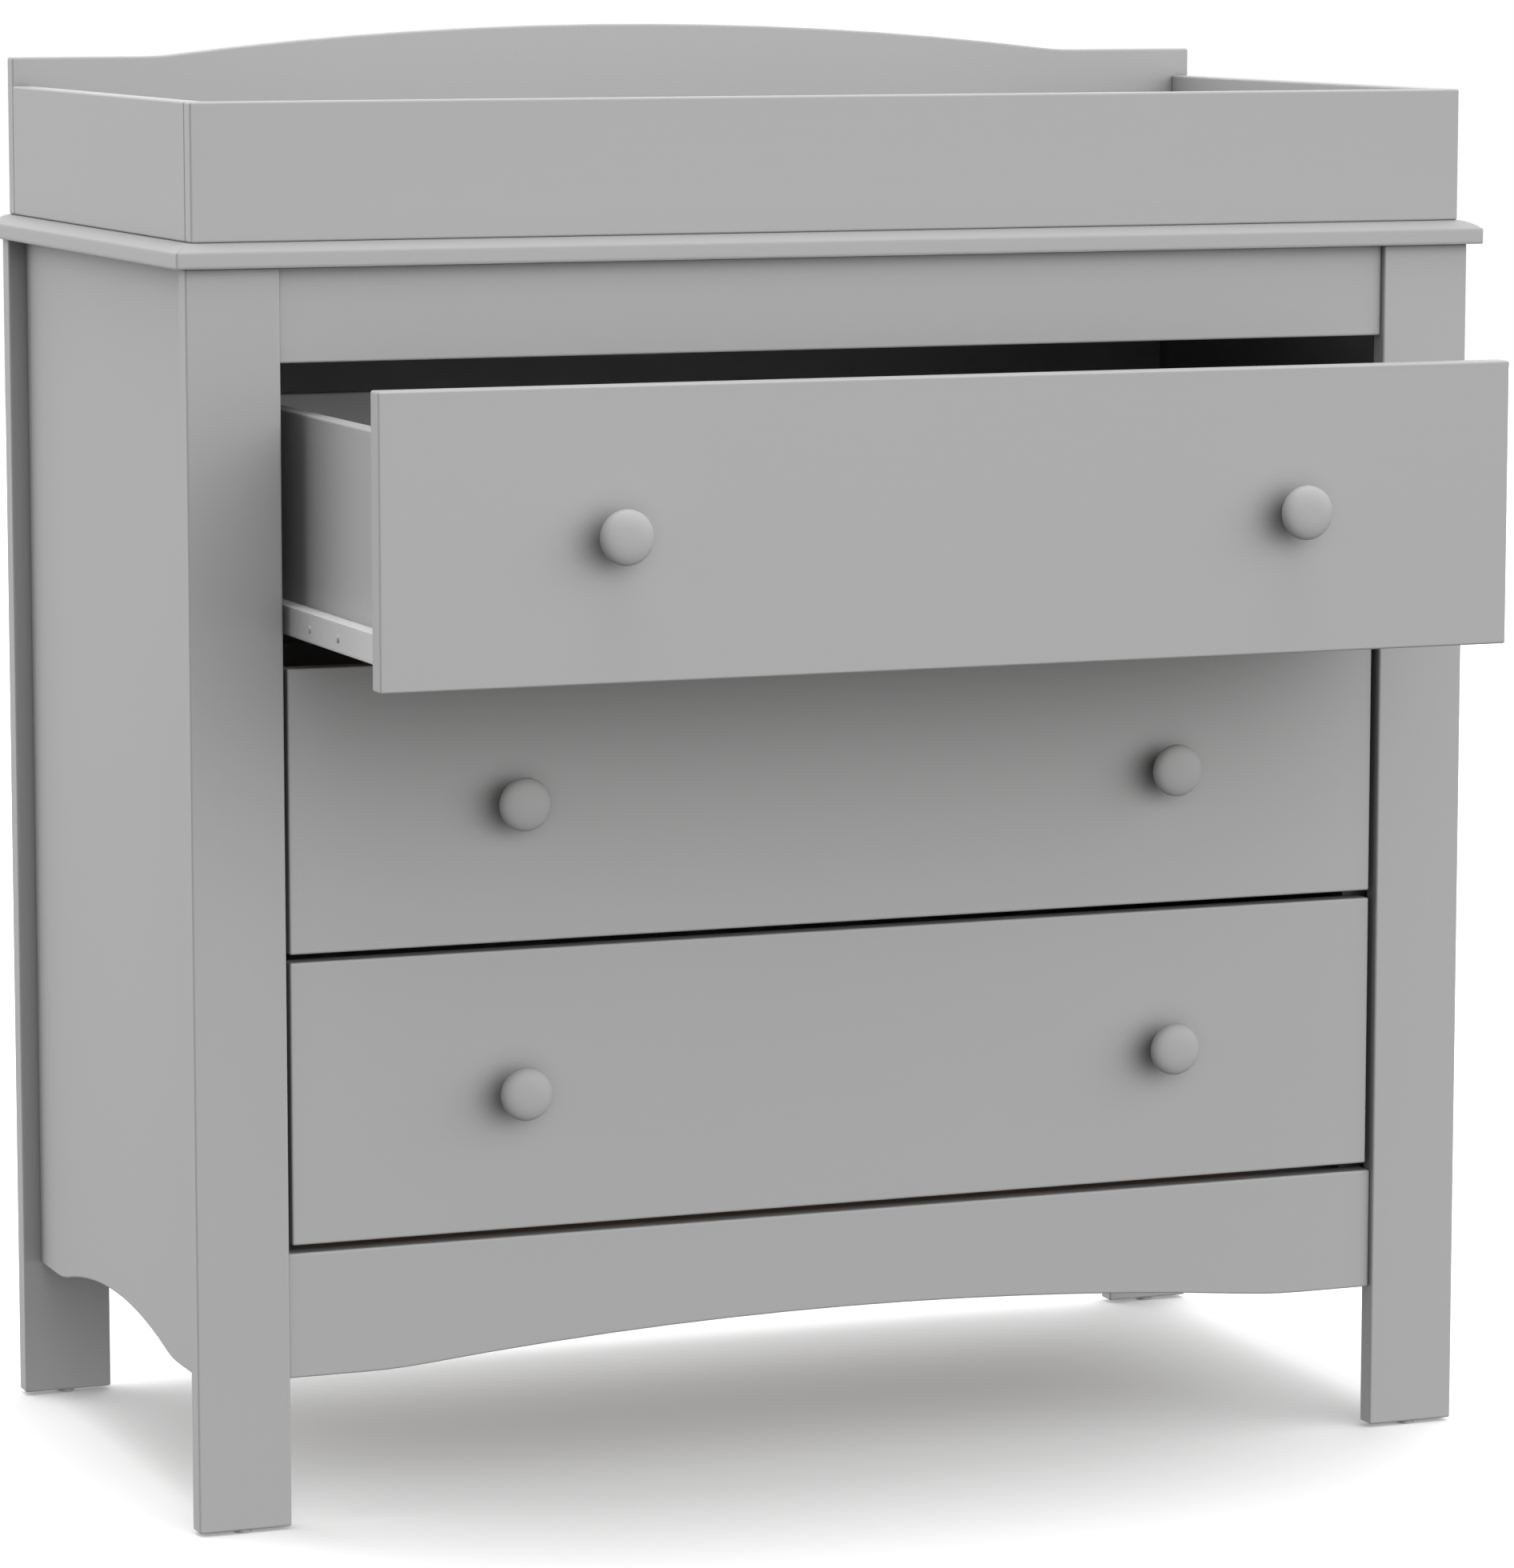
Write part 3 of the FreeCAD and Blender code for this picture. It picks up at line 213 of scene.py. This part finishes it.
def hardboard(name):
    """Pressed fibre board. The smooth face, which looks to the front or up, has a grey lacquer.
    The other face is bare fibre with the marks of the pressing screen."""
    g = Finish(name)
    fibre = g.noise(260.0, detail=5.0, roughness=0.7)
    cloud = g.noise(6.0)
    facing = g.facing()
    bare_face = g.span(g.math("SUBTRACT", facing["Y"], facing["Z"]), 0.4, 0.6)
    lacquer = g.mix(g.span(cloud, 0.35, 0.65), shade(PAINT, 0.93), shade(PAINT, 0.98))
    bare = g.mix(g.span(fibre, 0.3, 0.7), *BARE_FIBRE)
    screen = g.add("ShaderNodeTexVoronoi", feature="F1", distance="CHEBYCHEV")
    g.link(g.scaled(520.0), screen.inputs["Vector"])
    screen.inputs["Scale"].default_value = 1.0
    screen.inputs["Randomness"].default_value = 0.12
    dents = g.math("MULTIPLY", screen.outputs["Distance"], bare_face)
    normal = g.bump(dents, 0.25 * MM, g.bump(fibre, 0.03 * MM))
    return g.finish(g.mix(bare_face, lacquer, bare), g.span(bare_face, 0.0, 1.0, 0.5, 0.85), normal)


def coated_steel(name):
    """Rolled sheet under light grey powder coat, with a painted highlight that makes its upward faces
    lighter.
    """
    g = Finish(name)
    speckle = g.noise(1400.0)
    cloud = g.noise(14.0)
    body = g.mix(g.span(cloud, 0.35, 0.65), *COATING)
    # Painted highlight: faces that look up are lighter, as if lit from above.
    body = g.mix(g.span(g.facing()["Z"], 0.3, 0.9), body, PAINTED_TOP_HIGHLIGHT)
    normal = g.bump(speckle, 0.03 * MM, g.soft_edges(COATED_EDGE_RADIUS))
    return g.finish(body, g.span(speckle, 0.3, 0.7, 0.38, 0.48), normal)


def zinc(name):
    """Bright zinc plate: fine turning lines and a faint yellow-blue passivation."""
    g = Finish(name)
    lines = g.noise((300.0, 300.0, 3200.0))
    tint = g.noise(60.0)
    body = g.mix(g.span(tint, 0.35, 0.65), *PASSIVATION)
    return g.finish(body, g.span(lines, 0.3, 0.7, 0.26, 0.38), g.bump(lines, 0.01 * MM), metallic=1.0)


def moulded(name, colours):
    """Moulded plastic, slightly uneven."""
    g = Finish(name)
    cloud = g.noise(110.0, detail=3.0)
    pores = g.noise(2200.0, detail=1.0)
    body = g.mix(g.span(cloud, 0.35, 0.65), *colours)
    return g.finish(body, g.span(cloud, 0.3, 0.7, 0.36, 0.46), g.bump(pores, 0.01 * MM))


PAINTS = {axis: painted_wood("painted_wood_" + axis, axis) for axis in "xyz"}
FINISHES = {
    "hardboard": hardboard("hardboard"),
    "runner_steel": coated_steel("coated_steel"),
    "zinc_hardware": zinc("zinc"),
    "nylon": moulded("nylon", NATURAL_NYLON),
    "glide_plastic": moulded("glide_plastic", GREY_PLASTIC),
}


def finish_for(slot, along):
    """The material of a slot of the record. along is the axis of the grain in painted wood."""
    return PAINTS[along] if slot == "painted_wood" else FINISHES[slot]


def longest_axis(name):
    low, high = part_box(name)
    return "xyz"[max(range(3), key=lambda i: (high - low)[i])]


for part in frame["record"]["subparts"]:
    materials = nodes[part["node"]].data.materials
    materials.clear()
    materials.append(finish_for(part["material_slot"], longest_axis(part["node"])))
nodes["top_board"].data.materials[0] = painted_wood("painted_wood_edge", "x", PAINTED_EDGE_RADIUS)


# ---------------------------------------------------------------- pieces

# The plain CAD screws have heads of this size. Each recess is turned by so many radians more
# than the one before.
HEAD_RADIUS = 4.0 * MM
HEAD_HEIGHT = 2.0 * MM
SCREW_TWIST = 0.7

ROLLER_BORE = 2.05 * MM

# The screws of a drawer rail: their distances from its front end, their height over the drawer
# side's lower edge, and the turn of their recesses in radians per metre along the rail.
RAIL_SCREW_SPOTS = (68 * MM, 124 * MM, 300 * MM)
RAIL_SCREW_RISE = 6.765 * MM
RAIL_SCREW_TWIST = 500.0


def link(name, data):
    piece = bpy.data.objects.new(name, data)
    bpy.context.scene.collection.objects.link(piece)
    return piece


def as_mesh(form, name):
    """The form's mesh. The form itself is freed."""
    mesh = bpy.data.meshes.new(name)
    form.to_mesh(mesh)
    form.free()
    return mesh


def arc(centre, radius, start, end, steps):
    """Points of an arc, with its angles in degrees."""
    turns = (math.radians(start + (end - start) * i / steps) for i in range(steps + 1))
    return [(centre[0] + radius * math.cos(turn), centre[1] + radius * math.sin(turn)) for turn in turns]


def lathe(profile, segments):
    """A closed turned form about Z. profile runs as (radius, height) from axis to axis, or
    round a bore when it doesn't touch the axis."""
    form = bmesh.new()
    rings = []
    for radius, height in profile:
        if radius < 1e-9:
            rings.append([form.verts.new((0, 0, height))])
            continue
        turns = (2 * math.pi * i / segments for i in range(segments))
        rings.append([form.verts.new((radius * math.cos(t), radius * math.sin(t), height)) for t in turns])
    bored = len(rings[0]) > 1
    following = rings[1:] + rings[:1] if bored else rings[1:]
    for low, high in zip(rings, following):
        for i in range(segments):
            j = (i + 1) % segments
            corners = [low[i % len(low)], low[j % len(low)], high[j % len(high)], high[i % len(high)]]
            form.faces.new(list(dict.fromkeys(corners)))
    bmesh.ops.recalc_face_normals(form, faces=form.faces)
    return as_mesh(form, "turned")


def carve(mesh, cutter):
    """The mesh with the cutter's shape taken out of it."""
    whole, tool = link("whole", mesh), link("tool", cutter)
    change = whole.modifiers.new("carve", "BOOLEAN")
    change.operation = "DIFFERENCE"
    change.solver = "EXACT"
    change.object = tool
    result = bpy.data.meshes.new_from_object(whole.evaluated_get(bpy.context.evaluated_depsgraph_get()))
    for spare in (whole, tool):
        bpy.data.objects.remove(spare)
    return result


def cross_tool(half_width, reach, top, depth):
    """A cross-point driver's tip: a plus-shaped prism that narrows downwards."""
    taper = 0.55
    corners = [(reach, half_width), (half_width, half_width), (half_width, reach)]
    outline = [(x * cos - y * sin, x * sin + y * cos)
               for cos, sin in ((1, 0), (0, 1), (-1, 0), (0, -1)) for x, y in corners]
    form = bmesh.new()
    lower, upper = [[form.verts.new((x * scale, y * scale, z)) for x, y in outline]
                    for scale, z in ((taper, top - depth), (1.0, top + depth))]
    form.faces.new(lower)
    form.faces.new(upper)
    for i in range(len(outline)):
        j = (i + 1) % len(outline)
        form.faces.new((lower[i], lower[j], upper[j], upper[i]))
    bmesh.ops.recalc_face_normals(form, faces=form.faces)
    return as_mesh(form, "cross")


def stamp(name, mesh, places, body, slot, *replaced, crease=35):
    """One piece made of a copy of the mesh at each place, a 4x4 matrix. Turned wood has its grain
    along Y."""
    form = bmesh.new()
    for place in places:
        copy = mesh.copy()
        copy.transform(place)
        form.from_mesh(copy)
        bpy.data.meshes.remove(copy)
    joined = as_mesh(form, name)
    joined.materials.append(finish_for(slot, "y"))
    joined.shade_smooth()
    joined.set_sharp_from_angle(angle=math.radians(crease))
    piece = link(name, joined)
    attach(piece, body)
    if replaced:
        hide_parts(*replaced)


def facing(direction, where):
    """The place of a mesh whose Z points along direction and whose origin is at where."""
    turn = Vector(direction).to_track_quat("Z", "Y").to_matrix().to_4x4()
    return Matrix.Translation(Vector(where)) @ turn


def twisted(place, angle):
    """The place, turned about its own Z."""
    return place @ Matrix.Rotation(angle, 4, "Z")


def span_of(points):
    low = Vector([min(p[i] for p in points) for i in range(3)])
    high = Vector([max(p[i] for p in points) for i in range(3)])
    return low, high


def middle(points):
    low, high = span_of(points)
    return (low + high) / 2


def islands(name):
    """The vertices of each separate solid in a CAD node."""
    form = bmesh.new()
    form.from_mesh(nodes[name].data)
    bmesh.ops.remove_doubles(form, verts=form.verts, dist=0.001 * MM)
    waiting, found = set(form.verts), []
    while waiting:
        group, reached = set(), [next(iter(waiting))]
        while reached:
            vert = reached.pop()
            if vert in group:
                continue
            group.add(vert)
            reached += [edge.other_vert(vert) for edge in vert.link_edges]
        waiting -= group
        found.append([vert.co.copy() for vert in group])
    form.free()
    return sorted(found, key=lambda points: tuple(round(v, 5) for v in middle(points)))


def long_way(points):
    """The axis that a screw lies along, and 1 or -1 for the end that has its head."""
    low, high = span_of(points)
    axis = max(range(3), key=lambda i: (high - low)[i])
    centre = middle(points)

    def radius_at(level):
        near = [p for p in points if abs(p[axis] - level) < 0.1 * MM]
        return max(((p - centre) * Vector([i != axis for i in range(3)])).length for p in near)

    return axis, 1 if radius_at(high[axis]) > radius_at(low[axis]) else -1


def pan_screw(length, radius=2.0 * MM, head=HEAD_RADIUS, height=HEAD_HEIGHT):
    """A pan-head wood screw with a cross recess. Z = 0 is under the head, which points up."""
    tip, taper = 2.2 * MM, 6 * MM
    rim, crown = 0.55 * MM, head * 1.9
    swell = math.degrees(math.asin((head - rim) / crown))
    shoulder = height - crown * (1 - math.cos(math.radians(swell)))
    profile = [(0, -length), (radius * 0.45, tip - length), (radius, taper - length),
               (radius, 0), (head - 0.15 * MM, 0)]
    profile += arc((head - rim, shoulder - rim), rim, 0, 70, 4)
    profile += arc((0, height - crown), crown, 90 - swell * 0.93, 90, 8)
    profile[-1] = (0, height)
    return carve(lathe(profile, 40), cross_tool(0.32 * MM, head * 0.56, height, height * 0.62))


def screws(name, body):
    """Real screws in place of the plain ones of a CAD node, which are all of one length."""
    solids, places = islands(name), []
    for points in solids:
        low, high = span_of(points)
        axis, sign = long_way(points)
        where, way = middle(points), [0, 0, 0]
        where[axis] = high[axis] - HEAD_HEIGHT if sign > 0 else low[axis] + HEAD_HEIGHT
        way[axis] = sign
        places.append(twisted(facing(way, where), SCREW_TWIST * len(places)))
    low, high = span_of(solids[0])
    length = round(max(high - low) - HEAD_HEIGHT, 5)
    stamp(name + "_turned", pan_screw(length), places, body, "zinc_hardware", name)


def knob_form(radius, length):
    """A turned knob on Z = 0: a beaded foot, a coved waist and a wide, softly domed head."""
    foot, waist, bead = radius * 0.535, radius * 0.43, 0.9 * MM
    cove, waist_height = length * 0.22, length * 0.31
    widest, underside, dome = length * 0.70, length * 0.13, 0.75
    profile = [(0, 0)]
    profile += arc((foot - bead, bead), bead, -90, 40, 8)
    profile += arc((waist + cove, waist_height), cove, 215, 150, 14)
    profile += [(waist + (radius - waist) * across, widest - underside * rise)
                for across, rise in arc((0, 0), 1, 60, 0, 12)]
    profile += [(radius * across ** dome, widest + (length - widest) * rise ** dome)
                for across, rise in arc((0, 0), 1, 3, 89, 28)]
    return lathe(profile + [(0, length)], 128)


def roller_form(radius, width, bore):
    """A moulded roller from Z = 0 up: a rounded tread, and a recess round the hub on each side."""
    ease, hub, tread = 0.8 * MM, bore + 1.5 * MM, radius - 1.3 * MM
    dish, draft = 1.1 * MM, 0.2 * MM
    return lathe(
        [(bore, 0), (hub, 0), (hub + draft, dish), (tread - draft, dish), (tread, 0)]
        + arc((radius - ease, ease), ease, -80, 0, 5)
        + arc((radius - ease, width - ease), ease, 0, 80, 5)
        + [(tread, width), (tread - draft, width - dish), (hub + draft, width - dish),
           (hub, width), (bore, width)], 64)


def make_knobs(level):
    name = level + "_drawer_knobs"
    low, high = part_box(name)
    radius, length = (high.z - low.z) / 2, high.y - low.y
    centre = (low.z + high.z) / 2
    places = [facing((0, -1, 0), (x, high.y, centre)) for x in (low.x + radius, high.x - radius)]
    stamp(name + "_turned", knob_form(radius, length), places, level + "_drawer", "painted_wood", name,
          crease=50)


def make_rollers(name):
    places = []
    for points in islands(name):
        low, high = span_of(points)
        radius, width = (high.z - low.z) / 2, high.x - low.x
        centre = middle(points)
        places.append(facing((1, 0, 0), (low.x, centre.y, centre.z)))
    stamp(name + "_moulded", roller_form(radius, width, ROLLER_BORE), places, name, "nylon", name)


def make_rail_screws(level):
    """Low heads on the outer face of each drawer rail. They hold the rail to the drawer side."""
    low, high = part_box(level + "_drawer_runners")
    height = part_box(level + "_drawer_left_side")[0].z + RAIL_SCREW_RISE
    places = [twisted(facing((sign, 0, 0), (x, low.y + spot, height)), RAIL_SCREW_TWIST * spot)
              for spot in RAIL_SCREW_SPOTS for x, sign in ((low.x, -1), (high.x, 1))]
    head = pan_screw(8 * MM, radius=1.4 * MM, head=2.4 * MM, height=0.9 * MM)
    stamp(level + "_drawer_rail_screws", head, places, level + "_drawer", "runner_steel")


screws("rear_fixing_screws", "case")
screws("back_panel_screws", "case")
for level in LEVELS:
    make_knobs(level)
    screws(level + "_drawer_knob_screws", level + "_drawer")
    make_rail_screws(level)
    for row in ("case", "drawer"):
        make_rollers("%s_%s_rollers" % (level, row))


# ---------------------------------------------------------------- studio

FLOOR_HALF = 9.0
FLOOR_DROP = 0.2 * MM
FLOOR_GLOW = 0.12

# Soft lights far round the object: azimuth and elevation in degrees, tightness and strength
LIGHTS = {
    "front": (0, 18, 8, 2.35),
    "right_front": (45, 18, 8, 2.75),
    "right_rear": (135, 18, 8, 2.3),
    "rear": (180, 18, 8, 1.0),
    "left_rear": (225, 18, 8, 3.1),
    "left": (270, 18, 8, 0.85),
    "overhead": (0, 90, 20, 7.2),
    "high_right": (120, 55, 6, 0.3),
    "low_rear": (180, -35, 3, 0.6),
    "low_front": (0, -35, 3, 0.1),
}
SKY = 0.02
WHITE = 1.0

CAMERA_PLACE = (-1.518, -3.837, 0.987)
CAMERA_AZIMUTH = 21.35
CAMERA_PITCH = 7.63
CAMERA_LENS = 147.2


def make_floor():
    """A pale floor that takes the object's shadow and, like the studio's wide white sweep,
    lets light reach the object from below."""
    g = Finish("floor")
    tone = g.noise(1.2)
    body = g.mix(g.span(tone, 0.3, 0.7), (0.93, 0.93, 0.93), (0.95, 0.95, 0.95))
    material = g.finish(body, 0.85, g.bump(g.noise(220.0), 0.02 * MM), specular=0.1)
    g.shader.inputs["Emission Color"].default_value = (1.0, 1.0, 1.0, 1.0)
    g.shader.inputs["Emission Strength"].default_value = FLOOR_GLOW
    corners = [(x * FLOOR_HALF, y * FLOOR_HALF, 0) for x, y in ((-1, -1), (1, -1), (1, 1), (-1, 1))]
    mesh = bpy.data.meshes.new("floor")
    mesh.from_pydata(corners, [], [(0, 1, 2, 3)])
    mesh.materials.append(material)
    floor = link("floor", mesh)
    floor.location.z = -FLOOR_DROP
    for ray in ("visible_diffuse", "visible_glossy", "visible_transmission", "visible_shadow"):
        setattr(floor, ray, False)


def direction(azimuth, elevation):
    """A unit vector from the object: azimuth 0 is in front of it and 90 to its right."""
    a, e = math.radians(azimuth), math.radians(elevation)
    return (math.sin(a) * math.cos(e), -math.cos(a) * math.cos(e), math.sin(e))


def make_world():
    """A pale studio: an even sky and the soft lights, and plain white where the camera looks."""
    g = Graph(bpy.data.worlds.new("studio"))
    way = g.add("ShaderNodeTexCoord").outputs["Generated"]
    total = SKY
    for azimuth, elevation, tightness, strength in LIGHTS.values():
        aim = g.add("ShaderNodeVectorMath", operation="DOT_PRODUCT")
        g.link(way, aim.inputs[0])
        aim.inputs[1].default_value = direction(azimuth, elevation)
        lobe = g.math("POWER", g.math("MAXIMUM", aim.outputs["Value"]), tightness)
        total = g.math("ADD", total, g.math("MULTIPLY", lobe, strength))
    shown = g.add("ShaderNodeMix", data_type="FLOAT")
    g.link(g.add("ShaderNodeLightPath").outputs["Is Camera Ray"], shown.inputs["Factor"])
    g.put(total, shown.inputs["A"])
    g.put(WHITE, shown.inputs["B"])
    glow = g.add("ShaderNodeBackground")
    glow.inputs["Color"].default_value = (1.0, 1.0, 1.0, 1.0)
    g.link(shown.outputs["Result"], glow.inputs["Strength"])
    g.link(glow.outputs[0], g.add("ShaderNodeOutputWorld").inputs["Surface"])
    bpy.context.scene.world = g.owner


def make_camera():
    """A camera that looks along +Y, turned by its azimuth towards +X and down by its pitch."""
    data = bpy.data.cameras.new("camera")
    data.sensor_width = 36.0
    data.lens = CAMERA_LENS
    data.clip_end = 50.0
    camera = link("camera", data)
    camera.location = CAMERA_PLACE
    tilt = Matrix.Rotation(math.radians(90 - CAMERA_PITCH), 4, "X")
    camera.rotation_euler = (Matrix.Rotation(math.radians(-CAMERA_AZIMUTH), 4, "Z") @ tilt).to_euler()
    bpy.context.scene.camera = camera


make_floor()
make_world()
make_camera()
bpy.context.scene.view_settings.view_transform = "Standard"
